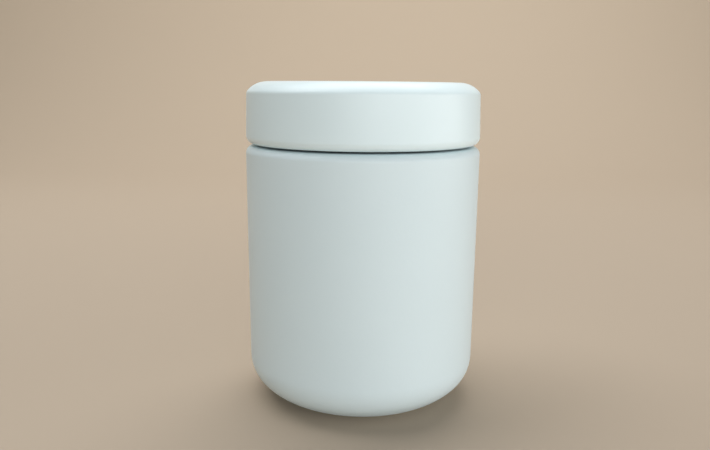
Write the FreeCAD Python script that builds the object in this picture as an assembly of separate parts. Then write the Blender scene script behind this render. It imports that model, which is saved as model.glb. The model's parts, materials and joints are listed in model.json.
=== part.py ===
import FreeCAD, Part
import math
import os

# Insulated food jar with a screw lid, in millimetres.
# The origin is the centre of the standing ring, with +Z up through the lid.

# Overall size
overall_height = 130.0
body_radius = 47.5

# Outer wall of the jar
body_taper = 0.5
shoulder_radius = 4.5
corner_radius = 15.0
underside_radius = 23.5
blend_angle = 45.0
foot_width = 1.6
outer_wall = 0.6

# Neck and mouth
shoulder_width = 10.0
neck_height = 12.2
neck_root_radius = 1.5
rim_width = 2.5

# Food vessel
inner_wall = 0.5
vacuum_gap = 7.4
vessel_floor_height = 13.0
vessel_corner_radius = 18.0
vessel_weld_rise = 2.0
neck_in_radius = 6.0
neck_in_angle = 45.0
mouth_depth = 14.5

# Outer base, evacuation hole and what closes it
base_wall = 0.6
base_recess = 2.0
cover_seat_radius = 12.0
seal_cover_thickness = 0.5
seal_cover_clearance = 0.2
dimple_radius = 3.5
dimple_depth = 1.0
evacuation_hole_radius = 0.8

# Foil and getter inside the vacuum
foil_thickness = 0.2
getter_radius = 3.8
getter_height = 1.8
holder_wall = 0.4
holder_height = 2.4

# Outside of the lid
lid_height = 24.4
lid_gap = 0.8
lid_step = 0.15
lid_draft = 0.4
lid_lower_round = 4.0
lid_crown_radius = 10.0
lid_crease_radius = 2.0
crown_angle = 40.0
cover_wall = 2.2
skirt_wall = 2.35
snap_lip_width = 1.9
snap_lip_height = 2.1

# Inner lid
liner_wall = 1.8
thread_gap = 1.9
collar_recess = 0.6
flange_thickness = 1.6
flange_clearance = 0.1
snap_clearance = 0.1
plug_clearance = 1.0
plug_depth = 7.5
valve_recess_radius = 12.2
valve_recess_depth = 3.7
web_thickness = 1.6

# Gasket between the inner lid and the rim
gasket_thickness = 1.9
gasket_fit = 0.05
gasket_side_gap = 0.5
gasket_leg_thickness = 0.7
gasket_leg_length = 4.5

# Cap of the inner lid
cap_ledge = 2.7
cap_thickness = 1.5
stop_inset = 3.0
stop_width = 2.5
stop_height = 2.5
stop_count = 3
stop_play = 0.5

# Vent valve and the cam that works it
click_angle = 30.0
valve_travel = 1.6
stem_radius = 4.5
stem_flat = 3.7
stem_clearance = 0.15
stem_top_gap = 3.8
vent_clearance = 0.4
pin_radius = 1.2
pin_drop = 6.3
pin_clearance = 0.15
boss_inner_radius = 7.2
boss_wall = 2.0
boss_floor_gap = 0.7
pin_end_gap = 0.3
packing_radius = 9.5
packing_wall = 1.3
packing_lip = 1.0
packing_seat_gap = 0.05
knob_radius = 4.0
knob_height = 1.0
knob_neck_radius = 2.5
knob_neck_height = 1.4

# Ribs and drive lugs under the top of the cover
rib_count = 6
rib_thickness = 1.2
rib_depth = 2.0
rib_end_gap = 2.5
lug_angle = 12.0
lug_tip_gap = 0.4

AXIS = FreeCAD.Vector(0, 0, 1)
ORIGIN = FreeCAD.Vector(0, 0, 0)
SIDE = 0.0
UP = 90.0
INWARD = 180.0
DOWN = -90.0
# How far a cutting or joining body runs past the face that it meets
OVERRUN = 0.5


def arc(centre_r, centre_z, radius, start, end):
    """Start, middle and end points of an arc in the profile plane, with angles in degrees."""
    turns = [math.radians(a) for a in (start, (start + end) / 2, end)]
    return [(centre_r + radius * math.cos(a), centre_z + radius * math.sin(a)) for a in turns]


def outline(*runs):
    """Closed face in the XZ plane. A run is one (radius, height) point or an arc's three points."""
    edges = []
    first = last = None
    for run in runs:
        points = [FreeCAD.Vector(r, 0, z) for r, z in (run if isinstance(run, list) else [run])]
        if last is not None and last.distanceToPoint(points[0]) > 1e-6:
            edges.append(Part.makeLine(last, points[0]))
        if len(points) == 3:
            edges.append(Part.Arc(*points).toShape())
        first = first or points[0]
        last = points[-1]
    edges.append(Part.makeLine(last, first))
    return Part.Face(Part.Wire(edges))


def revolved(*runs, sweep=360.0, start=0.0):
    """Solid turned about the jar's axis from a profile."""
    solid = outline(*runs).revolve(ORIGIN, AXIS, sweep)
    solid.rotate(ORIGIN, AXIS, start)
    return solid


def ring(inner, outer, low, high, sweep=360.0, start=0.0):
    """Round or part-round block between two radii and two heights."""
    return revolved((inner, low), (outer, low), (outer, high), (inner, high), sweep=sweep, start=start)


def around(solid, count):
    """Copies of a solid, evenly spaced about the axis."""
    copies = []
    for step in range(count):
        copy = solid.copy()
        copy.rotate(ORIGIN, AXIS, step * 360.0 / count)
        copies.append(copy)
    return copies


def double_d(radius, flat, low, high):
    """Round bar along the axis with two flats, which face +Y and -Y."""
    bar = Part.makeCylinder(radius, high - low, FreeCAD.Vector(0, 0, low))
    corner = FreeCAD.Vector(-radius, -flat, low)
    return bar.common(Part.makeBox(2 * radius, 2 * flat, high - low, corner))


# Heights and radii that follow from the sizes above
lid_underside = overall_height - lid_height
shoulder_height = lid_underside - lid_gap
rim_height = shoulder_height + neck_height
body_bottom_radius = body_radius - body_taper
blend = math.radians(blend_angle)
corner_height = underside_radius * (1 - math.sin(blend)) + corner_radius * math.sin(blend)
foot_outer_radius = (body_bottom_radius - corner_radius * (1 - math.cos(blend))
                     - underside_radius * math.cos(blend))
foot_inner_radius = foot_outer_radius - foot_width
neck_radius = body_radius - shoulder_width
mouth_radius = neck_radius - rim_width
rim_round = rim_width / 2
rim_centre = mouth_radius + rim_round
weld_height = rim_height - rim_round
vessel_outer = body_radius - outer_wall - vacuum_gap
vessel_radius = vessel_outer - inner_wall
vessel_weld_height = vessel_floor_height + vessel_corner_radius + vessel_weld_rise
mouth_low = rim_height - mouth_depth
holder_offset = (foot_inner_radius + cover_seat_radius + base_wall) / 2
lid_bottom_radius = body_radius - lid_step
lid_top_radius = lid_bottom_radius - lid_draft
cover_bore = lid_bottom_radius - skirt_wall
snap_lip_radius = cover_bore - snap_lip_width
ceiling = overall_height - cover_wall
lip_top = lid_underside + snap_lip_height
flange_low = lip_top + snap_clearance
flange_high = flange_low + flange_thickness
collar_inner = neck_radius + thread_gap
collar_outer = collar_inner + liner_wall
web_low = rim_height + gasket_thickness + 2 * gasket_fit
web_high = web_low + web_thickness
plug_radius = mouth_radius - plug_clearance
plug_height = rim_height - plug_depth
plug_floor_top = plug_height + liner_wall
valve_seat = plug_height + valve_recess_depth
well_low = valve_seat + liner_wall
well_high = well_low + cap_thickness
well_outer = valve_recess_radius + liner_wall
cap_radius = collar_outer - cap_ledge
cap_top = web_high + cap_thickness
stop_outer_radius = cap_radius - stop_inset
stop_inner_radius = stop_outer_radius - stop_width
boss_outer = boss_inner_radius + boss_wall
pin_height = ceiling - pin_drop
stop_sweep = 360.0 / stop_count - click_angle - lug_angle - 2 * stop_play


def make_outer_shell():
    """Painted outer wall: rounded underside, slightly tapered side, shoulder and neck."""
    wall = outer_wall
    corner_r = body_bottom_radius - corner_radius
    shoulder_r = body_radius - shoulder_radius
    shoulder_z = shoulder_height - shoulder_radius
    root_r = neck_radius + neck_root_radius
    root_z = shoulder_height + neck_root_radius
    return revolved(
        (foot_inner_radius, 0),
        arc(foot_outer_radius, underside_radius, underside_radius, DOWN, -blend_angle),
        arc(corner_r, corner_height, corner_radius, -blend_angle, SIDE),
        arc(shoulder_r, shoulder_z, shoulder_radius, SIDE, UP),
        arc(root_r, root_z, neck_root_radius, INWARD + UP, INWARD),
        (neck_radius, weld_height),
        (neck_radius - wall, weld_height),
        (neck_radius - wall, shoulder_height - wall),
        arc(shoulder_r, shoulder_z, shoulder_radius - wall, UP, SIDE),
        arc(corner_r, corner_height, corner_radius - wall, SIDE, -blend_angle),
        arc(foot_outer_radius, underside_radius, underside_radius - wall, -blend_angle, DOWN),
        (foot_inner_radius, wall),
    )


def make_outer_base():
    """Pan that closes the outer wall, with a seat for the seal cover and a dimpled hole."""
    top = base_recess + base_wall
    seat = base_recess + seal_cover_thickness
    dimple = seat + dimple_depth
    return revolved(
        (foot_inner_radius - base_wall, 0),
        (foot_inner_radius, 0),
        (foot_inner_radius, top),
        (cover_seat_radius + base_wall, top),
        (cover_seat_radius + base_wall, seat + base_wall),
        (dimple_radius + base_wall, seat + base_wall),
        (dimple_radius + base_wall, dimple + base_wall),
        (evacuation_hole_radius, dimple + base_wall),
        (evacuation_hole_radius, dimple),
        (dimple_radius, dimple),
        (dimple_radius, seat),
        (cover_seat_radius, seat),
        (cover_seat_radius, base_recess),
        (foot_inner_radius - base_wall, base_recess),
    )


def make_vacuum_seal():
    """Filler that flowed into the dimple and up through the evacuation hole."""
    seat = base_recess + seal_cover_thickness
    dimple = seat + dimple_depth
    return revolved(
        (0, seat),
        (dimple_radius, seat),
        (dimple_radius, dimple),
        (evacuation_hole_radius, dimple),
        (evacuation_hole_radius, dimple + base_wall),
        (0, dimple + base_wall),
    )


def make_seal_cover():
    """Thin disc over the filler, flush with the underside of the outer base."""
    radius = cover_seat_radius - seal_cover_clearance
    return ring(0, radius, base_recess, base_recess + seal_cover_thickness)


def make_inner_shell():
    """Side of the food vessel: straight tube, necked-in mouth and the bead that joins the neck."""
    wall = inner_wall
    turn = neck_in_radius
    half = math.radians(neck_in_angle)
    slope_width = vessel_radius - mouth_radius - 2 * turn * (1 - math.cos(half))
    lower_z = mouth_low - 2 * turn * math.sin(half) - slope_width / math.tan(half)
    return revolved(
        (vessel_radius, vessel_weld_height),
        arc(vessel_radius - turn, lower_z, turn, SIDE, neck_in_angle),
        arc(mouth_radius + turn, mouth_low, turn, INWARD + neck_in_angle, INWARD),
        arc(rim_centre, weld_height, rim_round, INWARD, SIDE),
        (mouth_radius + wall, weld_height),
        arc(mouth_radius + turn, mouth_low, turn - wall, INWARD, INWARD + neck_in_angle),
        arc(vessel_radius - turn, lower_z, turn + wall, neck_in_angle, SIDE),
        (vessel_outer, vessel_weld_height),
    )


def make_inner_bottom():
    """Drawn bottom of the food vessel, with a large corner, butt-welded to the tube."""
    corner_r = vessel_radius - vessel_corner_radius
    corner_z = vessel_floor_height + vessel_corner_radius
    return revolved(
        (0, vessel_floor_height),
        arc(corner_r, corner_z, vessel_corner_radius, DOWN, SIDE),
        (vessel_radius, vessel_weld_height),
        (vessel_outer, vessel_weld_height),
        arc(corner_r, corner_z, vessel_corner_radius + inner_wall, SIDE, DOWN),
        (0, vessel_floor_height - inner_wall),
    )


def make_heat_shield_wrap():
    """Foil wound round the straight wall of the food vessel."""
    high = mouth_low - 2 * neck_in_radius
    return ring(vessel_outer, vessel_outer + foil_thickness, vessel_weld_height, high)


def make_heat_shield_base():
    """Foil disc under the flat floor of the food vessel."""
    high = vessel_floor_height - inner_wall
    return ring(0, vessel_radius - vessel_corner_radius, high - foil_thickness, high)


def make_getter_holder():
    """Small cup that is spot-welded to the outer base, inside the vacuum."""
    low = base_recess + base_wall
    outer = getter_radius + holder_wall
    cup = ring(0, outer, low, low + holder_height)
    pocket = ring(0, getter_radius, low + holder_wall, low + holder_height)
    holder = cup.cut(pocket)
    holder.translate(FreeCAD.Vector(holder_offset, 0, 0))
    return holder


def make_getter():
    """Pressed pellet in its holder."""
    low = base_recess + base_wall + holder_wall
    pellet = ring(0, getter_radius, low, low + getter_height)
    pellet.translate(FreeCAD.Vector(holder_offset, 0, 0))
    return pellet


def cam_slot():
    """Helical slot for one cross pin, long enough for the pin at both ends of its travel."""
    bore = pin_radius + pin_clearance
    end_angle = math.degrees(math.asin(bore / boss_inner_radius))
    rise_per_degree = valve_travel / click_angle
    steepness = rise_per_degree * 180.0 / (math.pi * boss_inner_radius)
    half_height = bore * math.sqrt(1 + steepness ** 2)
    height = rise_per_degree * (click_angle + 2 * end_angle)
    path = Part.makeHelix(rise_per_degree * 360.0, height, (boss_inner_radius + boss_outer) / 2)
    near = boss_inner_radius - OVERRUN
    far = boss_outer + OVERRUN
    section = outline((near, -half_height), (far, -half_height), (far, half_height), (near, half_height))
    slot = Part.Wire(path.Edges).makePipeShell([section.OuterWire], True, True)
    slot.rotate(ORIGIN, AXIS, -click_angle - end_angle)
    slot.translate(FreeCAD.Vector(0, 0, pin_height - rise_per_degree * (click_angle + end_angle)))
    return slot


def make_lid_cover():
    """Outer lid: drafted side, rounded lower edge, soft crease and crowned top."""
    crown = math.radians(crown_angle)
    inset = lid_crease_radius * (1 - math.cos(crown)) + lid_crown_radius * math.cos(crown)
    crown_r = lid_top_radius - inset
    crown_z = overall_height - lid_crown_radius
    crease_r = lid_top_radius - lid_crease_radius
    crease_z = crown_z + (lid_crown_radius - lid_crease_radius) * math.sin(crown)
    round_r = lid_bottom_radius - lid_lower_round
    round_z = lid_underside + lid_lower_round
    inside = lid_crown_radius - cover_wall
    meet = math.degrees(math.acos((cover_bore - crown_r) / inside))
    skin = revolved(
        (snap_lip_radius, lid_underside),
        arc(round_r, round_z, lid_lower_round, DOWN, SIDE),
        arc(crease_r, crease_z, lid_crease_radius, SIDE, crown_angle),
        arc(crown_r, crown_z, lid_crown_radius, crown_angle, UP),
        (0, overall_height),
        (0, ceiling),
        arc(crown_r, crown_z, inside, UP, meet),
        (cover_bore, lip_top),
        (snap_lip_radius, lip_top),
    )
    boss = ring(boss_inner_radius, boss_outer, well_high + boss_floor_gap, ceiling + OVERRUN)
    boss = boss.cut(around(cam_slot(), 2))
    rib_length = crown_r - rib_end_gap - boss_outer + OVERRUN
    rib = Part.makeBox(
        rib_length, rib_thickness, rib_depth + OVERRUN,
        FreeCAD.Vector(boss_outer - OVERRUN, -rib_thickness / 2, ceiling - rib_depth),
    )
    lug = ring(
        stop_inner_radius, stop_outer_radius, cap_top + lug_tip_gap, ceiling + OVERRUN,
        sweep=lug_angle, start=-lug_angle / 2,
    )
    return skin.fuse([boss] + around(rib, rib_count) + around(lug, stop_count)).removeSplitter()


def make_inner_lid():
    """Plug with the thread collar, the snap flange and the recess for the vent valve."""
    wall = liner_wall
    flange_outer = cover_bore - flange_clearance
    return revolved(
        (stem_radius + vent_clearance, valve_seat),
        (valve_recess_radius, valve_seat),
        (valve_recess_radius, plug_height),
        (plug_radius, plug_height),
        (plug_radius, web_low),
        (collar_inner, web_low),
        (collar_inner, lid_underside + collar_recess),
        (collar_outer, lid_underside + collar_recess),
        (collar_outer, flange_low),
        (flange_outer, flange_low),
        (flange_outer, flange_high),
        (collar_outer, flange_high),
        (collar_outer, web_high),
        (plug_radius - wall, web_high),
        (plug_radius - wall, plug_floor_top),
        (well_outer, plug_floor_top),
        (well_outer, well_low),
        (stem_radius + vent_clearance, well_low),
    )


def make_inner_lid_cap():
    """Disc on the inner lid, with the well that guides the stem and the stops for the cover."""
    plate = revolved(
        (0, well_low),
        (well_outer, well_low),
        (well_outer, web_high),
        (cap_radius, web_high),
        (cap_radius, cap_top),
        (valve_recess_radius, cap_top),
        (valve_recess_radius, well_high),
        (0, well_high),
    )
    key = double_d(stem_radius + stem_clearance, stem_flat + stem_clearance,
                   well_low - OVERRUN, well_high + OVERRUN)
    stop = ring(
        stop_inner_radius, stop_outer_radius, cap_top - OVERRUN, cap_top + stop_height,
        sweep=stop_sweep, start=lug_angle / 2 + click_angle + stop_play,
    )
    return plate.cut(key).fuse(around(stop, stop_count)).removeSplitter()


def make_lid_insulation():
    """Foam ring that fills the inner lid round the valve."""
    return ring(well_outer, plug_radius - liner_wall, plug_floor_top, web_high)


def make_lid_gasket():
    """Silicone ring: a flat part that meets the rim and a leg that grips the plug."""
    inner = plug_radius + gasket_fit
    low = rim_height + gasket_fit
    high = low + gasket_thickness
    leg = inner + gasket_leg_thickness
    outer = collar_inner - gasket_side_gap
    return revolved(
        (inner, low - gasket_leg_length),
        (leg, low - gasket_leg_length),
        (leg, low),
        (outer, low),
        (outer, high),
        (inner, high),
    )


def make_valve_stem():
    """Keyed stem with two cross pins at the top and a knob for the packing below."""
    top = ceiling - stem_top_gap
    seat = valve_seat - packing_seat_gap - packing_lip
    knob_low = seat - knob_neck_height - knob_height
    shank = double_d(stem_radius, stem_flat, seat, top)
    neck = ring(0, knob_neck_radius, knob_low, seat + OVERRUN)
    knob = ring(0, knob_radius, knob_low, knob_low + knob_height)
    pin_reach = boss_outer - pin_end_gap
    pins = Part.makeCylinder(
        pin_radius, 2 * pin_reach, FreeCAD.Vector(-pin_reach, 0, pin_height), FreeCAD.Vector(1, 0, 0)
    )
    return shank.fuse([neck, knob, pins]).removeSplitter()


def make_valve_packing():
    """Silicone cap on the knob, with a raised lip that closes the vent from below."""
    lip_z = valve_seat - packing_seat_gap
    seat = lip_z - packing_lip
    knob_high = seat - knob_neck_height
    knob_low = knob_high - knob_height
    bottom = knob_low - packing_wall
    hub = knob_radius + packing_wall
    lip_inner = packing_radius - packing_wall
    return revolved(
        (0, bottom),
        (knob_radius, bottom),
        (hub, bottom + packing_wall),
        (hub, seat - packing_wall),
        (packing_radius, seat - packing_wall / 2),
        (packing_radius, lip_z),
        (lip_inner, lip_z),
        (lip_inner, seat),
        (knob_neck_radius, seat),
        (knob_neck_radius, knob_high),
        (knob_radius, knob_high),
        (knob_radius, knob_low),
        (0, knob_low),
    )


PIECES = {
    "outer_shell": make_outer_shell,
    "outer_base": make_outer_base,
    "vacuum_seal": make_vacuum_seal,
    "seal_cover": make_seal_cover,
    "inner_shell": make_inner_shell,
    "inner_bottom": make_inner_bottom,
    "heat_shield_wrap": make_heat_shield_wrap,
    "heat_shield_base": make_heat_shield_base,
    "getter_holder": make_getter_holder,
    "getter": make_getter,
    "lid_cover": make_lid_cover,
    "inner_lid": make_inner_lid,
    "inner_lid_cap": make_inner_lid_cap,
    "lid_insulation": make_lid_insulation,
    "lid_gasket": make_lid_gasket,
    "valve_stem": make_valve_stem,
    "valve_packing": make_valve_packing,
}

os.makedirs("parts", exist_ok=True)
for name, make in PIECES.items():
    shape = make()
    shape.exportStep("parts/" + name + ".step")
    state = "valid" if shape.isValid() else "NOT VALID"
    print(name, len(shape.Solids), "solid", round(shape.Volume), "mm3", state)
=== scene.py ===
# %% [markdown]
# # Insulated food jar
# The jar is a powder-coated steel body with a low screw lid. The shapes that carry load or
# move come from the CAD frame. This lesson gives them their finishes, and turns the round
# parts again with finer curves, so that light runs over them without facets.
#
# The frame comes first, because every new piece is measured from it. The jar's lengths are
# written in millimetres, as its maker would write them, and MM turns them into metres.

# %% Load the frame
import bmesh
import bpy
import json
import math
from mathutils import Matrix, Vector


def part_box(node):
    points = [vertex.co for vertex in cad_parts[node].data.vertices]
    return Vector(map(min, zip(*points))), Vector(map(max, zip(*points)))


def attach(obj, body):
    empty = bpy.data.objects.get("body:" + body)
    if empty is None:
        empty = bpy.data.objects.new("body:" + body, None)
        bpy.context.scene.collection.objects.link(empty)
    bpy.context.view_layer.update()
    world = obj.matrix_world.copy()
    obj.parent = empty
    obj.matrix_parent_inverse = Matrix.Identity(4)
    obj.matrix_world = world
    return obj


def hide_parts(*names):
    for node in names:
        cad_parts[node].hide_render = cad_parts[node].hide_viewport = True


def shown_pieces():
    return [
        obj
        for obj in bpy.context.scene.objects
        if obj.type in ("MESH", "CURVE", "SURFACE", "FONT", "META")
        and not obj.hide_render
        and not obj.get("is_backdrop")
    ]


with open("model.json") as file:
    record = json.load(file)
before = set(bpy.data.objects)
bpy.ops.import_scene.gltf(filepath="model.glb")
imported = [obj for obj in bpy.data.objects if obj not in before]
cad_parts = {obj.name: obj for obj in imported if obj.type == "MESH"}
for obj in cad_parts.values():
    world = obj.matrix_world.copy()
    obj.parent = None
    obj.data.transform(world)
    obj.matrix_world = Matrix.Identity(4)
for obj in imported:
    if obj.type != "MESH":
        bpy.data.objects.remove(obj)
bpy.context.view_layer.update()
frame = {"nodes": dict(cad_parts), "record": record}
nodes = frame["nodes"]
MM = 0.001

# %% [markdown]
# ## Camera
# The photograph was taken from close by, with the lens about as high as the lid and tilted
# down by eleven degrees. A camera could be aimed by eye or by a constraint. This one has the
# numbers that fit the jar's outline best, so that the render can be laid over the
# photograph. The three turns are applied one after another, as on a tripod's head.

# %% Place the camera
LENS_MM = 36.185
SENSOR_MM = 36.0
CAMERA_PLACE = (0.0, -294.258, 127.405)
NEAREST = 10.0


def add_camera(lens_mm, place_mm, tilt, pan, roll):
    """Camera that looks along +Y, tilted down, panned and rolled, all in degrees."""
    camera = bpy.data.objects.new("camera", bpy.data.cameras.new("camera"))
    bpy.context.scene.collection.objects.link(camera)
    camera.data.lens = lens_mm
    camera.data.sensor_width = SENSOR_MM
    camera.data.clip_start = NEAREST * MM
    turn = (Matrix.Rotation(math.radians(-pan), 4, "Z")
            @ Matrix.Rotation(math.radians(90.0 - tilt), 4, "X")
            @ Matrix.Rotation(math.radians(roll), 4, "Z"))
    camera.matrix_world = Matrix.Translation(Vector(place_mm) * MM) @ turn
    bpy.context.scene.camera = camera
    return camera


camera = add_camera(LENS_MM, CAMERA_PLACE, tilt=10.8179, pan=-0.5711, roll=0.4552)
print("camera stands", round(camera.location.length / MM), "mm from the jar's foot")

# %% [markdown]
# ## From a bmesh to an object
# Each new piece is shaped in a bmesh and handed over to an object once. The editor's own
# operators could do it too, but they depend on what is selected, and a bmesh doesn't. All
# faces are smooth, and an edge stays hard only where the surface turns by more than the
# crease angle, so that a fillet shades as one curve and a rim keeps its line.

# %% Hand a bmesh over
CREASE_ANGLE = 32.0


def verts_of(geometry):
    """The vertices among what an operator returns."""
    return [part for part in geometry if isinstance(part, bmesh.types.BMVert)]


def to_metres(bm):
    """Turns the faces outwards, and millimetres into metres."""
    bmesh.ops.recalc_face_normals(bm, faces=bm.faces)
    bmesh.ops.scale(bm, vec=(MM, MM, MM), verts=bm.verts)
    return bm


def finish_mesh(bm, name):
    """Object from a bmesh: smooth faces, with hard edges where the surface really turns."""
    for face in bm.faces:
        face.smooth = True
    for edge in bm.edges:
        edge.smooth = edge.calc_face_angle(0.0) < math.radians(CREASE_ANGLE)
    mesh = bpy.data.meshes.new(name)
    bm.to_mesh(mesh)
    bm.free()
    piece = bpy.data.objects.new(name, mesh)
    bpy.context.scene.collection.objects.link(piece)
    return piece


print("edges stay hard past", CREASE_ANGLE, "degrees")

# %% [markdown]
# ## Floor
# The jar stands on a plain pale sweep: one sheet that lies flat under it and curves up
# behind, as in a photo studio. Two planes would leave a line where they meet. So a bent
# line is extruded sideways into a sheet, and its fold is bevelled in many small steps. The
# floor runs far out in front, because the jar is looked at from behind too.

# %% Build the sweep
TINY = 1e-6
BEND_STEPS = 24
SWEEP_ROUGHNESS = 0.75


def add_sweep(width, front, back, height, bend, color):
    """Floor and back wall in one bent sheet, in metres, with a plain matte material."""
    bm = bmesh.new()
    line = ((front, 0), (back, 0), (back, height))
    corners = [bm.verts.new((-width / 2, y, z)) for y, z in line]
    runs = [bm.edges.new(pair) for pair in zip(corners, corners[1:])]
    moved = bmesh.ops.extrude_edge_only(bm, edges=runs)["geom"]
    bmesh.ops.translate(bm, vec=(width, 0, 0), verts=verts_of(moved))
    fold = [edge for edge in bm.edges
            if all(abs(v.co.y - back) + abs(v.co.z) < TINY for v in edge.verts)]
    bmesh.ops.bevel(bm, geom=fold, offset=bend, segments=BEND_STEPS, profile=0.5,
                    affect="EDGES", material=-1)
    bmesh.ops.recalc_face_normals(bm, faces=bm.faces)
    sweep = finish_mesh(bm, "sweep")
    paint = bpy.data.materials.new("sweep_paint")
    paint.use_nodes = True
    shader = paint.node_tree.nodes["Principled BSDF"]
    shader.inputs["Base Color"].default_value = (*color, 1.0)
    shader.inputs["Roughness"].default_value = SWEEP_ROUGHNESS
    sweep.data.materials.append(paint)
    sweep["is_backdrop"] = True
    return sweep


sweep = add_sweep(width=12.0, front=-6.0, back=1.6, height=2.2, bend=0.9,
                  color=(0.45, 0.37, 0.285))
print("sweep faces:", len(sweep.data.polygons))

# %% [markdown]
# ## Light
# The photograph has soft daylight from the front and the right. A sun or a small lamp would
# draw hard edges on a round body, so each light here is a wide rectangle, as a window is.
# Three low ones stand in front and on the right, and a weak, higher one on the left, so the
# jar shades from bright on the right to grey on the left. A wide one above and behind lights
# the crown of the lid, and the last one washes the back wall. The Standard view shows the
# colours as the materials give them, without a film's curve.

# %% Hang the lights
JAR_MIDDLE = (0.0, 0.0, 0.07)
WALL_MIDDLE = (0.0, 1.9, 0.35)
WHITE = (1.0, 1.0, 1.0)
DAYLIGHT = (0.94, 1.0, 1.03)
SKYLIGHT = (0.92, 0.98, 1.0)
WARM = (1.0, 0.97, 0.90)


def add_window(name, place, aim, size, watts, color):
    """Rectangular soft light at a place, turned towards a point. Sizes are in metres."""
    lamp = bpy.data.lights.new(name, "AREA")
    lamp.shape = "RECTANGLE"
    lamp.size, lamp.size_y = size
    lamp.energy = watts
    lamp.color = color
    window = bpy.data.objects.new(name, lamp)
    bpy.context.scene.collection.objects.link(window)
    window.location = place
    direction = Vector(aim) - Vector(place)
    window.rotation_euler = direction.to_track_quat("-Z", "Y").to_euler()
    return window


def fill_world(color, strength):
    """Even, weak light from all round, which keeps the shadows open."""
    world = bpy.context.scene.world or bpy.data.worlds.new("studio")
    bpy.context.scene.world = world
    world.use_nodes = True
    background = world.node_tree.nodes["Background"]
    background.inputs["Color"].default_value = (*color, 1.0)
    background.inputs["Strength"].default_value = strength


add_window("window_right", (0.68, -0.98, 0.32), JAR_MIDDLE, (1.2, 0.4), 4.8, WHITE)
add_window("window_front", (0.0, -1.25, 0.36), JAR_MIDDLE, (1.1, 0.4), 4.6, DAYLIGHT)
add_window("window_side", (1.20, -0.15, 0.22), JAR_MIDDLE, (0.9, 0.4), 3.9, WHITE)
add_window("window_left", (-0.95, 0.20, 0.85), JAR_MIDDLE, (0.9, 0.4), 0.9, SKYLIGHT)
add_window("window_above", (-0.20, 0.38, 1.25), JAR_MIDDLE, (1.8, 0.8), 17.0, WHITE)
add_window("wall_wash", (0.0, 0.95, 1.30), WALL_MIDDLE, (2.6, 0.3), 13.0, WARM)
fill_world((0.95, 0.98, 1.0), 0.10)
bpy.context.scene.view_settings.view_transform = "Standard"

# %% [markdown]
# ## Turned profiles
# Every main part of the jar is spun, drawn or moulded round one axis, so each one starts as a
# half section. That section could be a curve with a Screw modifier, but a curve's fillets are
# only nearly round. Here a pen walks along it: it draws a straight run by adding a vertex,
# and an arc by spinning that vertex about the arc's centre. One more spin, about the jar's
# axis, makes the part. So every fillet keeps its true radius at any resolution.

# %% Pen and lathe
AROUND = 192
ARC_STEP = 4.0
FEWEST_STEPS = 3
MERGE = 1e-4
SLIVER = 1e-5


class Pen:
    """Draws a half section in the XZ plane, in millimetres: radius along X, height along Z."""

    def __init__(self, radius, height):
        self.bm = bmesh.new()
        self.first = self.last = self.bm.verts.new((radius, 0, height))

    def line(self, *points):
        """Straight runs to one or more (radius, height) points."""
        for radius, height in points:
            corner = self.bm.verts.new((radius, 0, height))
            self.bm.edges.new((self.last, corner))
            self.last = corner
        return self

    def arc(self, radius, height, angle, step=ARC_STEP):
        """Arc about a centre. A positive angle, in degrees, runs from +X towards +Z."""
        swept = bmesh.ops.spin(
            self.bm, geom=[self.last], cent=(radius, 0, height), axis=(0, -1, 0),
            angle=math.radians(angle), steps=max(FEWEST_STEPS, round(abs(angle) / step)))
        self.last = verts_of(swept["geom_last"])[0]
        return self

    def close(self):
        """Joins the end to the start, for a section that doesn't reach the axis."""
        self.bm.edges.new((self.last, self.first))
        return self

    def fill(self):
        """Fills a closed section, and returns all of it, ready for a sweep with ends."""
        cap = bmesh.ops.edgeloop_fill(self.bm, edges=self.bm.edges[:])["faces"]
        return self.bm.verts[:] + self.bm.edges[:] + cap

    def turn(self, name):
        """Spins the section about the jar's axis and returns the piece, in metres."""
        bm = self.bm
        bmesh.ops.spin(bm, geom=bm.verts[:] + bm.edges[:], cent=(0, 0, 0), axis=(0, 0, 1),
                       angle=2 * math.pi, steps=AROUND, use_merge=True)
        bmesh.ops.remove_doubles(bm, verts=bm.verts, dist=MERGE)
        bmesh.ops.dissolve_degenerate(bm, edges=bm.edges, dist=SLIVER)
        return finish_mesh(to_metres(bm), name)


print("a full turn has", AROUND, "steps of", 360 / AROUND, "degrees")

# %% [markdown]
# ## Finishes
# A finish is a shader plus a fine relief. It could come from pictures, but nodes have no
# seam and stay sharp from any distance. All patterns read Object coordinates, in metres, so
# they have a real size and stay put when the lid turns. The helpers keep each finish down to
# a few lines: a noise of a given wavelength, and the colour, gloss or relief that it drives.

# %% Helpers for node materials
PATTERN_LOW = 0.3
PATTERN_HIGH = 0.7


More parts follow.
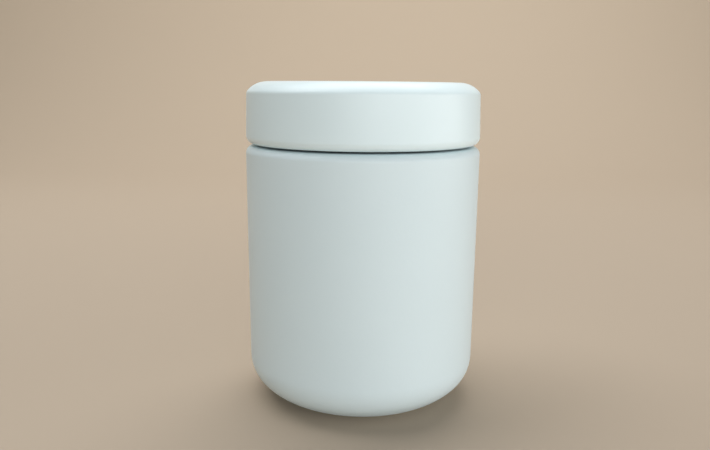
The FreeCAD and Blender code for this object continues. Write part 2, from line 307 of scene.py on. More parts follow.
class Finish:
    """A material under construction, with short calls for the nodes that this jar uses."""

    def __init__(self, name, color, roughness, metallic=0.0):
        self.material = bpy.data.materials.new(name)
        self.material.use_nodes = True
        self.tree = self.material.node_tree
        self.shader = self.tree.nodes["Principled BSDF"]
        self.shader.inputs["Base Color"].default_value = (*color, 1.0)
        self.shader.inputs["Roughness"].default_value = roughness
        self.shader.inputs["Metallic"].default_value = metallic
        self.place = self.add("ShaderNodeTexCoord").outputs["Object"]

    def add(self, kind, **settings):
        """New node with its plain settings. Its inputs are set or linked afterwards."""
        node = self.tree.nodes.new(kind)
        for key, value in settings.items():
            setattr(node, key, value)
        return node

    def link(self, output, socket):
        """Wire from one node's output to another node's socket."""
        self.tree.links.new(output, socket)

    def noise(self, wavelength_mm, detail=2.0, place=None):
        """Noise whose bumps are about a wavelength apart, on Object coordinates or others."""
        node = self.add("ShaderNodeTexNoise")
        node.inputs["Scale"].default_value = 1.0 / (wavelength_mm * MM)
        node.inputs["Detail"].default_value = detail
        self.link(place or self.place, node.inputs["Vector"])
        return node.outputs["Fac"]

    def spread(self, source, low, high):
        """Maps a pattern from its usual range onto a range of values."""
        node = self.add("ShaderNodeMapRange")
        node.inputs["From Min"].default_value = PATTERN_LOW
        node.inputs["From Max"].default_value = PATTERN_HIGH
        node.inputs["To Min"].default_value = low
        node.inputs["To Max"].default_value = high
        self.link(source, node.inputs["Value"])
        return node.outputs["Result"]

    def tint(self, source, dark, light):
        """Colour that drifts between two close shades with a pattern."""
        node = self.add("ShaderNodeMix", data_type="RGBA")
        shades = [socket for socket in node.inputs if socket.type == "RGBA"]
        for socket, shade in zip(shades, (dark, light)):
            socket.default_value = (*shade, 1.0)
        mixed = next(socket for socket in node.outputs if socket.type == "RGBA")
        self.link(self.spread(source, 0.0, 1.0), node.inputs["Factor"])
        self.link(mixed, self.shader.inputs["Base Color"])

    def gloss(self, source, low, high):
        """Roughness that varies with a pattern."""
        self.link(self.spread(source, low, high), self.shader.inputs["Roughness"])

    def relief(self, source, depth_mm):
        """Fine bumps of a given depth, on top of any relief added before."""
        node = self.add("ShaderNodeBump")
        node.inputs["Distance"].default_value = depth_mm * MM
        node.inputs["Strength"].default_value = 1.0
        self.link(source, node.inputs["Height"])
        below = self.shader.inputs["Normal"].links
        if below:
            self.link(below[0].from_socket, node.inputs["Normal"])
        self.link(node.outputs["Normal"], self.shader.inputs["Normal"])


print("a pattern's usual range:", PATTERN_LOW, "to", PATTERN_HIGH)

# %% [markdown]
# ### Powder coat
# Powder is sprayed on dry and melts in an oven. It flows out almost level, and what stays is
# orange peel: soft bumps a millimetre or two apart and a few micrometres high, with a much
# finer grain on top. One noise with much detail would give both at once, but not each at its
# own height. So two noises make the two scales. One more varies the gloss, and a very wide
# one lets the white drift slightly, as it does on a real batch. The grain scatters the
# light, so the level of the mirror-like part is set below its usual half.

# %% Powder coat
powder = Finish("satin_powder_coat", (0.72, 0.835, 0.865), 0.42)
powder.tint(powder.noise(60.0, 1.0), (0.71, 0.825, 0.855), (0.73, 0.845, 0.875))
powder.gloss(powder.noise(1.1), 0.37, 0.46)
powder.relief(powder.noise(1.6, 1.0), 0.020)
powder.relief(powder.noise(0.35, 1.0), 0.004)
powder.shader.inputs["Specular IOR Level"].default_value = 0.35
print("powder coat nodes:", len(powder.tree.nodes))

# %% [markdown]
# ### Satin lid plastic
# The lid is moulded in a tool that was spark-eroded, which leaves an even, very fine grain and
# a satin gloss. Its colour is close to the paint's, a little lighter, so one material could
# nearly serve for both. The gloss and the grain tell the two apart on the real jar, and so
# the lid has a material of its own, with one fine relief in place of the orange peel.

# %% Lid plastic
lid_plastic = Finish("satin_lid_plastic", (0.79, 0.92, 0.95), 0.40)
lid_plastic.tint(lid_plastic.noise(45.0, 1.0), (0.78, 0.91, 0.94), (0.80, 0.93, 0.96))
lid_plastic.gloss(lid_plastic.noise(0.5), 0.36, 0.44)
lid_plastic.relief(lid_plastic.noise(0.22, 3.0), 0.006)
print("lid plastic nodes:", len(lid_plastic.tree.nodes))

# %% [markdown]
# ### Spun and brushed steel
# The neck, the food vessel and the base are bare stainless steel. Each is polished while it
# turns, so its scratches run round the axis. Anisotropy could stretch the highlight in the
# same way, but it shows no single line. So the lines are drawn: a noise that changes quickly
# up and across the wall, and slowly round it. It reads the heading from the axis and not an
# angle, because an angle jumps from one end of its range to the other and leaves a seam.

# %% Bare steel
LINE_RADIUS = 40.0
METRE = 1000.0


def brushed(finish, spacing_mm, length_mm):
    """Noise drawn out into fine lines round the axis, of a length that holds at the neck."""
    split = finish.add("ShaderNodeSeparateXYZ")
    finish.link(finish.place, split.inputs["Vector"])
    flat = finish.add("ShaderNodeCombineXYZ")
    for side in "XY":
        finish.link(split.outputs[side], flat.inputs[side])
    radius = finish.add("ShaderNodeVectorMath", operation="LENGTH")
    heading = finish.add("ShaderNodeVectorMath", operation="NORMALIZE")
    for node in (radius, heading):
        finish.link(flat.outputs["Vector"], node.inputs[0])
    slow = finish.add("ShaderNodeVectorMath", operation="SCALE")
    slow.inputs["Scale"].default_value = LINE_RADIUS / length_mm
    finish.link(heading.outputs["Vector"], slow.inputs[0])
    round_axis = finish.add("ShaderNodeSeparateXYZ")
    finish.link(slow.outputs["Vector"], round_axis.inputs["Vector"])
    across = finish.add("ShaderNodeMath", operation="ADD")
    finish.link(split.outputs["Z"], across.inputs[0])
    finish.link(radius.outputs["Value"], across.inputs[1])
    fine = finish.add("ShaderNodeMath", operation="DIVIDE")
    fine.inputs[1].default_value = spacing_mm * MM
    finish.link(across.outputs["Value"], fine.inputs[0])
    drawn = finish.add("ShaderNodeCombineXYZ")
    for side in "XY":
        finish.link(round_axis.outputs[side], drawn.inputs[side])
    finish.link(fine.outputs["Value"], drawn.inputs["Z"])
    return finish.noise(METRE, 3.0, drawn.outputs["Vector"])


steel = Finish("spun_steel", (0.62, 0.62, 0.61), 0.28, metallic=1.0)
lines = brushed(steel, 0.12, 60.0)
steel.tint(steel.noise(18.0), (0.60, 0.60, 0.59), (0.66, 0.66, 0.65))
steel.gloss(lines, 0.20, 0.36)
steel.relief(lines, 0.004)
steel.relief(steel.noise(9.0, 0.0), 0.010)
print("steel nodes:", len(steel.tree.nodes))

# %% [markdown]
# ### Moulded liner
# The liner is pale polypropylene, slightly translucent and fairly matte. A full volume
# shader would let light through it, and would cost far more to render. A little scattering
# under the surface gives the same milky edge.

# %% Liner plastic
SCATTER = (2.0 * MM, 2.0 * MM, 2.0 * MM)
liner = Finish("moulded_liner", (0.78, 0.80, 0.80), 0.42)
liner.tint(liner.noise(25.0, 1.0), (0.755, 0.778, 0.78), (0.79, 0.81, 0.812))
liner.gloss(liner.noise(0.6), 0.36, 0.48)
liner.relief(liner.noise(0.3, 3.0), 0.008)
liner.shader.inputs["Subsurface Weight"].default_value = 0.08
liner.shader.inputs["Subsurface Radius"].default_value = SCATTER
print("liner nodes:", len(liner.tree.nodes))

# %% [markdown]
# ### Silicone
# The sealing ring and the vent plug are silicone: light grey, soft to the eye, and always
# with some dust on it. A rougher shader alone would look like chalk. A touch of sheen adds
# the pale rim that rubber has, and the relief is soft, because the mould was blasted.

# %% Silicone
silicone = Finish("soft_silicone", (0.70, 0.73, 0.74), 0.55)
silicone.tint(silicone.noise(12.0, 1.0), (0.66, 0.69, 0.70), (0.71, 0.74, 0.75))
silicone.gloss(silicone.noise(0.8), 0.48, 0.62)
silicone.relief(silicone.noise(0.45, 2.0), 0.010)
silicone.shader.inputs["Sheen Weight"].default_value = 0.12
print("silicone nodes:", len(silicone.tree.nodes))

# %% [markdown]
# ### Foam
# The foam that insulates the lid is a mass of closed cells, a bit more than a millimetre
# across. Cells could be modelled, but there are many thousands, and only an opened lid shows
# them. A Voronoi pattern draws such cells. Its distance sinks each cell's middle as relief,
# and also paints that middle darker: painted shade in the hollow.

# %% Foam
CELL_SIZE = 1.4
foam = Finish("cell_foam", (0.92, 0.92, 0.90), 0.85)
cells = foam.add("ShaderNodeTexVoronoi")
cells.inputs["Scale"].default_value = 1.0 / (CELL_SIZE * MM)
foam.link(foam.place, cells.inputs["Vector"])
# Painted shade: the cells' hollows, where the distance is small, get the darker colour.
foam.tint(cells.outputs["Distance"], (0.80, 0.80, 0.78), (0.94, 0.94, 0.92))
foam.relief(cells.outputs["Distance"], 0.15)
print("foam nodes:", len(foam.tree.nodes))

# %% [markdown]
# ### Foil, filler and getter
# These are sealed in the vacuum, and only a cut jar shows them. The foil is bright and creased
# by hand, the filler flowed in the furnace and froze with a dull skin, and the getter pellet is
# pressed from dark metal powder. The foil's creases could be folded into its mesh. They are
# left to the relief, since the sheet between them stays the plain tube that it is.

# %% Finishes inside the vacuum
foil = Finish("bright_foil", (0.86, 0.87, 0.88), 0.18, metallic=1.0)
foil.gloss(foil.noise(3.0), 0.12, 0.26)
foil.relief(foil.noise(7.0, 4.0), 0.35)

filler = Finish("frozen_filler", (0.72, 0.60, 0.38), 0.45, metallic=1.0)
filler.tint(filler.noise(1.5, 4.0), (0.55, 0.45, 0.30), (0.74, 0.62, 0.42))
filler.relief(filler.noise(0.9, 3.0), 0.06)

pellet = Finish("pressed_getter", (0.25, 0.25, 0.26), 0.80, metallic=0.6)
pellet.tint(pellet.noise(0.25, 3.0), (0.17, 0.17, 0.18), (0.31, 0.31, 0.32))
pellet.relief(pellet.noise(0.18, 3.0), 0.05)
print("nodes:", [len(finish.tree.nodes) for finish in (foil, filler, pellet)])

# %% [markdown]
# ## Finishes on the CAD nodes
# The frame's record says which finish each node has. They could be set one by one, but a loop
# over the record can't miss a node. The nodes that are turned again below take theirs too,
# and are then hidden behind their new pieces.

# %% Dress the CAD nodes
FINISHES = {
    "painted_steel": powder, "lid_plastic": lid_plastic, "bare_steel": steel,
    "liner_plastic": liner, "silicone": silicone, "foam": foam,
    "reflective_foil": foil, "sealing_filler": filler, "getter_pellet": pellet,
}


def give_finish(piece, slot_name):
    """Takes off what a piece wears, and puts on that slot's finish."""
    piece.data.materials.clear()
    piece.data.materials.append(FINISHES[slot_name].material)


for part in frame["record"]["subparts"]:
    give_finish(nodes[part["node"]], part["material_slot"])

# %% [markdown]
# ## A new piece in place of a node
# Each new piece stands for a node: it moves with that node's body, hides the node and takes
# its finish. The same calls after every piece would be easy to forget once, and then a
# piece would stay behind when the lid rises. So one function makes all of them.

# %% Dress a new piece
def dress(piece, body, node, slot_name):
    """Puts a new piece on a body, in place of a CAD node, in that slot's finish."""
    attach(piece, body)
    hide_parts(node)
    give_finish(piece, slot_name)
    size = [round(v / MM, 1) for v in piece.dimensions]
    print(piece.name, "mm:", size, "faces:", len(piece.data.polygons))
    return piece


print("slots:", sorted(FINISHES))

# %% [markdown]
# ## Painted body
# The outer wall is one pressed tube: a flat standing ring, a soft underside that grows into
# the side through two tangent arcs, a side that widens a little towards the top, and a small
# shoulder. A cylinder with bevelled rims comes close, but a bevel can't make two arcs of
# different radius run into each other, so the pen draws them. The outer radius is read from
# the CAD box. The shoulder is tighter than the CAD one, as the notch below the lid shows.

# %% Turn the painted wall
BODY_RADIUS = -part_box("outer_shell")[0].x / MM
BODY_TAPER = 0.5
WALL = 0.6
FOOT_WIDTH = 1.6
UNDERSIDE = 23.5
CORNER = 15.0
SHOULDER = 3.0
NECK_RADIUS = 37.5
NECK_ROOT = 1.5
SHOULDER_HEIGHT = 104.8
HALF_TURN = math.sqrt(0.5)
foot_outer = BODY_RADIUS - BODY_TAPER - CORNER * (1 - HALF_TURN) - UNDERSIDE * HALF_TURN
corner_r = BODY_RADIUS - BODY_TAPER - CORNER
corner_z = UNDERSIDE * (1 - HALF_TURN) + CORNER * HALF_TURN
shoulder_r = BODY_RADIUS - SHOULDER
shoulder_z = SHOULDER_HEIGHT - SHOULDER
root_r = NECK_RADIUS + NECK_ROOT
root_z = SHOULDER_HEIGHT - WALL

pen = Pen(foot_outer - FOOT_WIDTH, 0)
pen.line((foot_outer, 0)).arc(foot_outer, UNDERSIDE, 45).arc(corner_r, corner_z, 45)
pen.line((BODY_RADIUS, shoulder_z)).arc(shoulder_r, shoulder_z, 90, step=3.0)
pen.line((root_r, SHOULDER_HEIGHT), (root_r, root_z), (shoulder_r, root_z))
pen.arc(shoulder_r, shoulder_z, -90).line((corner_r + CORNER - WALL, corner_z))
pen.arc(corner_r, corner_z, -45).arc(foot_outer, UNDERSIDE, -45)
pen.line((foot_outer - FOOT_WIDTH, WALL)).close()
dress(pen.turn("painted_wall"), "jar", "outer_shell", "painted_steel")

# %% [markdown]
# ## Steel neck
# Above the shoulder the same tube is left bare, because the lid screws on there and would
# rub the paint off. The neck could be a second material on the wall's upper faces. As a
# piece of its own it keeps a clean line where the paint ends.

# %% Turn the neck
WELD_HEIGHT = 115.75
pen = Pen(root_r, SHOULDER_HEIGHT).arc(root_r, SHOULDER_HEIGHT + NECK_ROOT, -90, step=6.0)
pen.line((NECK_RADIUS, WELD_HEIGHT), (NECK_RADIUS - WALL, WELD_HEIGHT))
pen.line((NECK_RADIUS - WALL, root_z), (root_r, root_z)).close()
dress(pen.turn("steel_neck"), "jar", "outer_shell", "bare_steel")

# %% [markdown]
# ## Thread on the neck
# The thread is rolled into the tube, so its ridge has no sharp edge: hollow, crest, hollow.
# A Screw modifier would make the spiral, but would end it in a step. So a section of the
# ridge is spun about the axis with a small rise, again and again. Near both ends the section
# is also scaled in towards the wall each time, and the ridge sinks away under the surface.

# %% Roll a thread ridge
LEAD = 8.0
FADE = 30.0
SINK = 0.05
THINNEST = 0.02
RIDGE_STEP = 2.0
RIDGE_ARC_STEP = 12.0


def swing(bm, degrees):
    """Turns what is in a bmesh about the jar's axis."""
    matrix = Matrix.Rotation(math.radians(degrees), 3, "Z")
    bmesh.ops.rotate(bm, verts=bm.verts, cent=(0, 0, 0), matrix=matrix)


def ridge_section(wall, height, width):
    """Closed section of a ridge on a wall. A negative height stands inwards."""
    side = math.copysign(1.0, height)
    lean = 2 * math.atan(2 * abs(height) / width)
    curve = abs(height) / (2 * (1 - math.cos(lean)))
    turn = math.degrees(lean) * side
    buried = wall - side * SINK
    pen = Pen(wall, -width / 2)
    pen.arc(wall + side * curve, -width / 2, -turn, step=RIDGE_ARC_STEP)
    pen.arc(wall + height - side * curve, 0, 2 * turn, step=RIDGE_ARC_STEP)
    pen.arc(wall + side * curve, width / 2, -turn, step=RIDGE_ARC_STEP)
    return pen.line((buried, width / 2), (buried, -width / 2)).close()


def thread_ridge(name, wall, height, width, start, sweep, level):
    """Ridge that climbs a wall from a start angle, and fades out at both ends."""
    pen = ridge_section(wall, height, width)
    section = pen.fill()
    bm = pen.bm
    swing(bm, start)
    bmesh.ops.translate(bm, verts=bm.verts, vec=(0, 0, level))
    fullness = 1.0
    for count in range(round(sweep / RIDGE_STEP) + 1):
        along = count * RIDGE_STEP
        if count:
            spun = bmesh.ops.spin(
                bm, geom=section, cent=(0, 0, 0), axis=(0, 0, 1), steps=1,
                dvec=(0, 0, LEAD * RIDGE_STEP / 360.0), angle=math.radians(RIDGE_STEP))
            section = spun["geom_last"]
        to_end = min(along, sweep - along, FADE)
        wanted = max(THINNEST, math.sin(math.radians(to_end * 90.0 / FADE)))
        heading = Matrix.Rotation(math.radians(start + along), 4, "Z")
        at_wall = heading @ Matrix.Translation((wall, 0, 0))
        bmesh.ops.scale(bm, vec=(wanted / fullness, 1, 1), space=at_wall.inverted(),
                        verts=verts_of(section))
        fullness = wanted
    return finish_mesh(to_metres(bm), name)


THREAD_HEIGHT = 1.3
THREAD_LEVEL = 107.9
neck_thread = thread_ridge("neck_thread", NECK_RADIUS, THREAD_HEIGHT, width=3.4,
                           start=-100, sweep=270, level=THREAD_LEVEL)
dress(neck_thread, "jar", "outer_shell", "bare_steel")

# %% [markdown]
# ## Food vessel
# The food vessel is a steel tube, necked in at the mouth and ending in a welded bead. A
# Solidify modifier could give a single surface its wall, but it would leave the bead out.
# Inside and out are two offsets of one line, so the pen walks up the inside, over the bead
# and back down the outside.

# %% Turn the vessel
vessel_low, vessel_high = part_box("inner_shell")
VESSEL_WALL = 0.5
VESSEL_RADIUS = vessel_high.x / MM - VESSEL_WALL
VESSEL_WELD = vessel_low.z / MM
MOUTH_RADIUS = 35.0
RIM_ROUND = 1.25
NECK_IN = 6.0
MOUTH_LOW = 102.5
slope = VESSEL_RADIUS - MOUTH_RADIUS - 2 * NECK_IN * (1 - HALF_TURN)
lower_z = MOUTH_LOW - 2 * NECK_IN * HALF_TURN - slope
upper_r = MOUTH_RADIUS + NECK_IN
lower_r = VESSEL_RADIUS - NECK_IN
inner_turn = NECK_IN * HALF_TURN
outer_turn = (NECK_IN + VESSEL_WALL) * HALF_TURN
rim_outer = MOUTH_RADIUS + VESSEL_WALL

pen = Pen(VESSEL_RADIUS, VESSEL_WELD).line((VESSEL_RADIUS, lower_z)).arc(lower_r, lower_z, 45)
pen.line((upper_r - inner_turn, MOUTH_LOW - inner_turn)).arc(upper_r, MOUTH_LOW, -45)
pen.line((MOUTH_RADIUS, WELD_HEIGHT))
pen.arc(MOUTH_RADIUS + RIM_ROUND, WELD_HEIGHT, -180, step=9.0)
pen.line((rim_outer, WELD_HEIGHT), (rim_outer, MOUTH_LOW)).arc(upper_r, MOUTH_LOW, 45)
pen.line((lower_r + outer_turn, lower_z + outer_turn)).arc(lower_r, lower_z, -45)
pen.line((VESSEL_RADIUS + VESSEL_WALL, VESSEL_WELD)).close()
dress(pen.turn("vessel_side"), "jar", "inner_shell", "bare_steel")

# %% [markdown]
# ## The vessel's bottom
# The bottom is drawn from a sheet, so its corner is a wide round that a spoon can follow. It
# could be one piece with the side. It is apart because the real one is welded on, with the
# weld ground flush, and because the frame keeps it as a node of its own.

# %% Turn the vessel's bottom
VESSEL_FLOOR = 13.0
VESSEL_CORNER = 18.0
bend_r = VESSEL_RADIUS - VESSEL_CORNER
bend_z = VESSEL_FLOOR + VESSEL_CORNER
pen = Pen(0, VESSEL_FLOOR).line((bend_r, VESSEL_FLOOR)).arc(bend_r, bend_z, 90)
pen.line((VESSEL_RADIUS, VESSEL_WELD), (VESSEL_RADIUS + VESSEL_WALL, VESSEL_WELD))
pen.line((VESSEL_RADIUS + VESSEL_WALL, bend_z)).arc(bend_r, bend_z, -90)
pen.line((0, VESSEL_FLOOR - VESSEL_WALL))
dress(pen.turn("vessel_bottom"), "jar", "inner_bottom", "bare_steel")

# %% [markdown]
# ## Base pan and seal cover
# Underneath, a shallow steel pan closes the vacuum, and a thin disc is glued over the hole
# through which the air was pumped out. Pressed sheet has no sharp edge. An arc at every fold
# would make the section long to read, so a bevel modifier rounds each edge that turns sharply.

# %% Turn the pan and the cover disc
SHARP_ANGLE = 40.0


def soften(piece, width_mm, segments=2):
    """Small round on every hard edge, as any moulded or pressed part has."""
    bevel = piece.modifiers.new("edge_round", "BEVEL")
    bevel.width = width_mm * MM
    bevel.segments = segments
    bevel.limit_method = "ANGLE"
    bevel.angle_limit = math.radians(SHARP_ANGLE)
    return piece


BASE_RECESS = 2.0
BASE_WALL = 0.6
SEAT_RADIUS = 12.0
SEAT_DEPTH = 0.5
DIMPLE_RADIUS = 3.5
DIMPLE_DEPTH = 1.0
HOLE_RADIUS = 0.8
pan_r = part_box("outer_base")[1].x / MM
pan_top = BASE_RECESS + BASE_WALL
seat = BASE_RECESS + SEAT_DEPTH
seat_top = seat + BASE_WALL
dimple = seat + DIMPLE_DEPTH
dimple_top = dimple + BASE_WALL
pen = Pen(pan_r - BASE_WALL, 0)
pen.line((pan_r, 0), (pan_r, pan_top), (SEAT_RADIUS + BASE_WALL, pan_top))
pen.line((SEAT_RADIUS + BASE_WALL, seat_top), (DIMPLE_RADIUS + BASE_WALL, seat_top))
pen.line((DIMPLE_RADIUS + BASE_WALL, dimple_top), (HOLE_RADIUS, dimple_top))
pen.line((HOLE_RADIUS, dimple), (DIMPLE_RADIUS, dimple), (DIMPLE_RADIUS, seat))
pen.line((SEAT_RADIUS, seat), (SEAT_RADIUS, BASE_RECESS), (pan_r - BASE_WALL, BASE_RECESS))
dress(soften(pen.close().turn("base_pan"), 0.2), "jar", "outer_base", "bare_steel")

disc_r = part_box("seal_cover")[1].x / MM
pen = Pen(0, BASE_RECESS).line((disc_r, BASE_RECESS), (disc_r, seat), (0, seat))
dress(soften(pen.turn("cover_disc"), 0.12), "jar", "seal_cover", "bare_steel")

# %% [markdown]
# ## Lid cover
# The lid's side leans in by a fraction of a millimetre so that it leaves the mould, turns over
# a soft crease into a crowned top, and has a large round at its lower edge. The photograph
# shows that crease as the line between the grey side and the bright top. A bevel would round
# every edge alike, so each one gets an arc of its own. Inside there is a lip that snaps under
# the inner lid.

# %% Turn the lid cover
lid_low, lid_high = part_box("lid_cover")
LID_RADIUS = -lid_low.x / MM
LID_UNDER = lid_low.z / MM
LID_TOP = lid_high.z / MM
LID_DRAFT = 0.4
LOWER_ROUND = 3.2
CROWN_RADIUS = 10.0
CREASE_RADIUS = 2.0
CROWN_ANGLE = 40.0
LID_WALL = 2.2
BORE = 45.0
LIP_RADIUS = 43.1
LIP_HEIGHT = 2.1
crown = math.radians(CROWN_ANGLE)
top_r = LID_RADIUS - LID_DRAFT
crown_r = top_r - CREASE_RADIUS * (1 - math.cos(crown)) - CROWN_RADIUS * math.cos(crown)
crown_z = LID_TOP - CROWN_RADIUS
crease_z = crown_z + (CROWN_RADIUS - CREASE_RADIUS) * math.sin(crown)
round_r = LID_RADIUS - LOWER_ROUND
meet = math.degrees(math.acos((BORE - crown_r) / (CROWN_RADIUS - LID_WALL)))
lid_ceiling = LID_TOP - LID_WALL
lip_top = LID_UNDER + LIP_HEIGHT

pen = Pen(LIP_RADIUS, LID_UNDER)
pen.line((round_r, LID_UNDER)).arc(round_r, LID_UNDER + LOWER_ROUND, 90)
pen.line((top_r, crease_z)).arc(top_r - CREASE_RADIUS, crease_z, CROWN_ANGLE, step=5.0)
pen.arc(crown_r, crown_z, 90 - CROWN_ANGLE).line((0, LID_TOP))
pen.line((0, lid_ceiling), (crown_r, lid_ceiling)).arc(crown_r, crown_z, meet - 90)
pen.line((BORE, lip_top), (LIP_RADIUS, lip_top)).close()
dress(pen.turn("lid_skin"), "cover", "lid_cover", "lid_plastic")

# %% [markdown]
# ## Cam under the cover
# This is hidden until the lid is taken apart. A round boss has two helical slots: the first
# thirty degrees of turning push the valve stem's cross pins down them, which lets the steam
# out before the thread moves. The slots could be built face by face, but they have to follow
# the stem's travel exactly. So they are cut, as a mill would do it: a bar is swept along a
# helix, which is one spin with a rise, and a Boolean modifier takes it out of the boss.

# %% Make the cutting tool
BOSS_INNER = 7.2
BOSS_WALL = 2.0
BOSS_LOW = 117.5
CLICK_ANGLE = 30.0
VALVE_TRAVEL = 1.6
PIN_DROP = 6.3
SLOT_HALF = 1.35
TOOL_MARGIN = 0.5
TOOL_STEPS = 24
boss_outer = BOSS_INNER + BOSS_WALL
pin_height = lid_ceiling - PIN_DROP
end_angle = math.degrees(math.asin(SLOT_HALF / BOSS_INNER))
rise_rate = VALVE_TRAVEL / CLICK_ANGLE


def ring_of(bm, count):
    """Copies what is in a bmesh round the jar's axis, evenly spaced, and goes to metres."""
    everything = bm.verts[:] + bm.edges[:] + bm.faces[:]
    bmesh.ops.spin(bm, geom=everything, cent=(0, 0, 0), axis=(0, 0, 1), use_duplicate=True,
                   angle=2 * math.pi * (count - 1) / count, steps=count - 1)
    return to_metres(bm)


def slot_cutter(name):
    """Two bars swept along the cam's helix, as one cutting tool."""
    inner = BOSS_INNER - TOOL_MARGIN
    outer = boss_outer + TOOL_MARGIN
    pen = Pen(inner, -SLOT_HALF)
    pen.line((outer, -SLOT_HALF), (outer, SLOT_HALF), (inner, SLOT_HALF)).close()
    section = pen.fill()
    bm = pen.bm
    lead_in = CLICK_ANGLE + end_angle
    sweep = CLICK_ANGLE + 2 * end_angle
    bmesh.ops.translate(bm, verts=bm.verts, vec=(0, 0, pin_height - rise_rate * lead_in))
    swing(bm, -lead_in)
    bmesh.ops.spin(bm, geom=section, cent=(0, 0, 0), axis=(0, 0, 1), steps=TOOL_STEPS,
                   dvec=(0, 0, rise_rate * sweep / TOOL_STEPS), angle=math.radians(sweep))
    return finish_mesh(ring_of(bm, 2), name)


print("slots rise", round(rise_rate * CLICK_ANGLE, 2), "mm in", CLICK_ANGLE, "degrees")

# %% [markdown]
# ## Cutting the boss
# A Boolean leaves hair-thin faces where the tool's corners pass close to the boss's own. They
# don't show, but a mesh with them isn't closed, and couldn't be printed or measured. So the
# cut is read back into a bmesh, and what lies closer than a hundredth of a millimetre is
# merged.

# %% Cut the cam
HAIR = 0.01


def cut(piece, tool):
    """The piece without what the tool takes out. Both are thrown away for the new one."""
    boolean = piece.modifiers.new("cut", "BOOLEAN")
    boolean.operation = "DIFFERENCE"
    boolean.solver = "EXACT"
    boolean.object = tool
    name = piece.name
    bm = bmesh.new()
    bm.from_object(piece, bpy.context.evaluated_depsgraph_get())
    bmesh.ops.remove_doubles(bm, verts=bm.verts, dist=HAIR * MM)
    bmesh.ops.dissolve_degenerate(bm, edges=bm.edges, dist=HAIR * MM)
    bpy.data.objects.remove(tool)
    bpy.data.objects.remove(piece)
    return finish_mesh(bm, name)


pen = Pen(BOSS_INNER, BOSS_LOW)
pen.line((boss_outer, BOSS_LOW), (boss_outer, lid_ceiling), (BOSS_INNER, lid_ceiling)).close()
cam_boss = cut(pen.turn("cam_boss"), slot_cutter("slot_cutter"))
dress(cam_boss, "cover", "lid_cover", "lid_plastic")

# %% [markdown]
# ## Ribs
# Six ribs stiffen the top of the cover from inside. An Array modifier could place them, but
# it needs an empty to turn about. A spin that duplicates does the same in the mesh: one rib
# is made from a cube, and copied round the axis. It reaches a little way into the boss and
# into the ceiling, so that no gap can show.

# %% Add the ribs
ROOTED = 0.3
RIB_COUNT = 6
RIB_THICK = 1.2
RIB_DEPTH = 2.0
RIB_GAP = 2.5
EDGE_ROUND = 0.2
rib_start = boss_outer - ROOTED
rib_end = crown_r - RIB_GAP
rib_middle = ((rib_start + rib_end) / 2, 0, lid_ceiling + (ROOTED - RIB_DEPTH) / 2)
bm = bmesh.new()
rib = bmesh.ops.create_cube(bm, size=1.0)["verts"]
bmesh.ops.scale(bm, vec=(rib_end - rib_start, RIB_THICK, RIB_DEPTH + ROOTED), verts=rib)
bmesh.ops.translate(bm, vec=rib_middle, verts=rib)
cover_ribs = soften(finish_mesh(ring_of(bm, RIB_COUNT), "cover_ribs"), EDGE_ROUND)
dress(cover_ribs, "cover", "lid_cover", "lid_plastic")

# %% [markdown]
# ## Drive lugs
# Three lugs hang from the ceiling, and push the inner lid round once the cam has run out. A
# lug could be a cube too, but its faces follow the circle on which it moves. So a small
# section is swept through twelve degrees, and the lug is copied round the axis like the rib.

# %% Add the drive lugs
LUG_COUNT = 3
LUG_ANGLE = 12.0
LUG_STEPS = 8
LUG_INNER = 33.0
LUG_OUTER = 35.5
LUG_LOW = 122.5
lug_high = lid_ceiling + ROOTED
pen = Pen(LUG_INNER, LUG_LOW)
pen.line((LUG_OUTER, LUG_LOW), (LUG_OUTER, lug_high), (LUG_INNER, lug_high)).close()
lug_end = pen.fill()
bm = pen.bm
swing(bm, -LUG_ANGLE / 2)
bmesh.ops.spin(bm, geom=lug_end, cent=(0, 0, 0), axis=(0, 0, 1),
               angle=math.radians(LUG_ANGLE), steps=LUG_STEPS)
drive_lugs = soften(finish_mesh(ring_of(bm, LUG_COUNT), "drive_lugs"), EDGE_ROUND)
dress(drive_lugs, "cover", "lid_cover", "lid_plastic")

# %% [markdown]
# ## Inner lid
# The inner lid is the part that touches food: a plug that hangs in the mouth, a web over the
# rim, and a collar that carries the thread. Plug, web and collar could be three tubes joined
# by a Boolean. As one closed section the wall stays even, as it has to be in a moulding.

# %% Turn the inner lid
VENT_RADIUS = 4.9
RECESS_RADIUS = 12.2
RECESS_DEPTH = 3.7
LINER_WALL = 1.8
PLUG_RADIUS = 34.0
COLLAR_BORE = 39.4
COLLAR_RISE = 0.6
FLANGE_GAP = 0.1
FLANGE_THICK = 1.6
WEB_THICK = 1.6
LINER_ROUND = 0.45
liner_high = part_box("inner_lid")[1]
plug_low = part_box("lid_insulation")[0].z / MM - LINER_WALL
web_high = liner_high.z / MM
web_low = web_high - WEB_THICK
collar_low = LID_UNDER + COLLAR_RISE
collar_outer = COLLAR_BORE + LINER_WALL
flange_low = lip_top + FLANGE_GAP
flange_high = flange_low + FLANGE_THICK
flange_outer = liner_high.x / MM
seat_z = plug_low + RECESS_DEPTH
well_r = RECESS_RADIUS + LINER_WALL
plug_inner = PLUG_RADIUS - LINER_WALL

pen = Pen(VENT_RADIUS, seat_z).line((RECESS_RADIUS, seat_z), (RECESS_RADIUS, plug_low))
pen.line((PLUG_RADIUS, plug_low), (PLUG_RADIUS, web_low), (COLLAR_BORE, web_low))
pen.line((COLLAR_BORE, collar_low), (collar_outer, collar_low), (collar_outer, flange_low))
pen.line((flange_outer, flange_low), (flange_outer, flange_high), (collar_outer, flange_high))
pen.line((collar_outer, web_high), (plug_inner, web_high), (plug_inner, plug_low + LINER_WALL))
pen.line((well_r, plug_low + LINER_WALL), (well_r, seat_z + LINER_WALL))
pen.line((VENT_RADIUS, seat_z + LINER_WALL)).close()
plug_and_collar = soften(pen.turn("plug_and_collar"), LINER_ROUND, 3)
dress(plug_and_collar, "lid", "inner_lid", "liner_plastic")

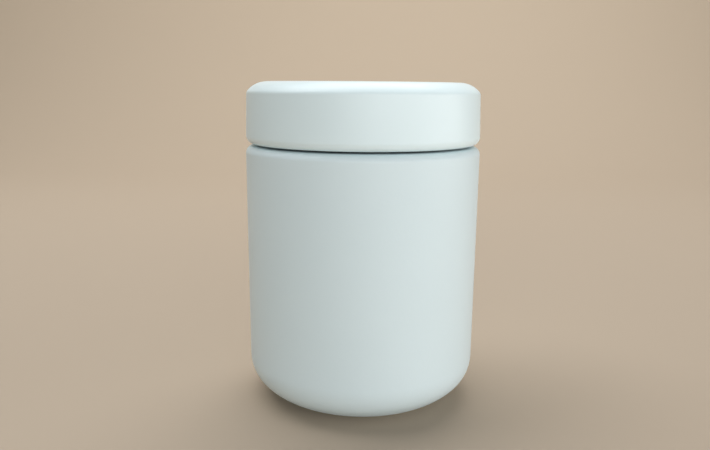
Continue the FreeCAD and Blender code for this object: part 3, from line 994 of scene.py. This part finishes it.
# %% [markdown]
# ## Thread in the collar
# The lid's own thread runs just under the one on the neck, at the same lead, so the two slide
# past each other and never cut through. A copy of the neck's ridge would face the wrong way.
# The same function makes it with a negative height, so that it stands inwards.

# %% Roll the collar's ridge
lid_thread = thread_ridge("lid_thread", COLLAR_BORE, -THREAD_HEIGHT, width=3.0,
                          start=-37, sweep=250, level=THREAD_LEVEL)
dress(lid_thread, "lid", "inner_lid", "liner_plastic")

# %% [markdown]
# ## Sealing ring
# The ring is silicone and comes off for washing. It has a flat part that is pressed on the
# steel rim and a leg that grips the plug. A torus would be the quick shape for a ring, but
# then neither of the two would be there.

# %% Turn the sealing ring
ring_low, ring_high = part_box("lid_gasket")
RING_CLEARANCE = 0.05
LEG_THICK = 0.7
FLAT_THICK = 1.9
RUBBER_ROUND = 0.3
ring_bore = PLUG_RADIUS + RING_CLEARANCE
leg_outer = ring_bore + LEG_THICK
leg_low = ring_low.z / MM
ring_outer = ring_high.x / MM
flat_high = ring_high.z / MM
flat_low = flat_high - FLAT_THICK
pen = Pen(ring_bore, leg_low).line((leg_outer, leg_low), (leg_outer, flat_low))
pen.line((ring_outer, flat_low), (ring_outer, flat_high), (ring_bore, flat_high)).close()
sealing_ring = soften(pen.turn("sealing_ring"), RUBBER_ROUND, 3)
dress(sealing_ring, "seal", "lid_gasket", "silicone")

# %% [markdown]
# ## Vent plug
# The vent plug is a small silicone cap, pulled over the knob of the valve stem. Its raised
# lip closes the vent from below. It could be a solid button, since the knob is out of sight.
# It is hollow, because the stem sits in it and the two would cut through each other.

# %% Turn the vent plug
PACKING_WALL = 1.3
KNOB_RADIUS = 4.0
KNOB_NECK = 2.5
KNOB_HEIGHT = 1.0
LIP_RISE = 1.0
packing_low, packing_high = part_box("valve_packing")
packing_r = packing_high.x / MM
packing_foot = packing_low.z / MM
packing_top = packing_high.z / MM
hub = KNOB_RADIUS + PACKING_WALL
lip_foot = packing_top - LIP_RISE
lip_inner = packing_r - PACKING_WALL
knob_low = packing_foot + PACKING_WALL
knob_high = knob_low + KNOB_HEIGHT
pen = Pen(0, packing_foot).line((KNOB_RADIUS, packing_foot), (hub, knob_low))
pen.line((hub, lip_foot - PACKING_WALL), (packing_r, lip_foot - PACKING_WALL / 2))
pen.line((packing_r, packing_top), (lip_inner, packing_top), (lip_inner, lip_foot))
pen.line((KNOB_NECK, lip_foot), (KNOB_NECK, knob_high), (KNOB_RADIUS, knob_high))
pen.line((KNOB_RADIUS, knob_low), (0, knob_low))
dress(soften(pen.turn("vent_plug"), RUBBER_ROUND, 3), "valve", "valve_packing", "silicone")

# %% [markdown]
# ## Count the faces
# The new pieces may not outgrow the CAD model, or the jar would no longer fit where it is
# used, and a look at the render can't show a tenth of a millimetre. This last cell counts
# the faces of every shown mesh, and prints the name of a piece that has more than the limit.

# %% Count the faces
HEAVY = 150000
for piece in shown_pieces():
    if piece.type == "MESH" and len(piece.data.polygons) > HEAVY:
        print("heavy piece:", piece.name)
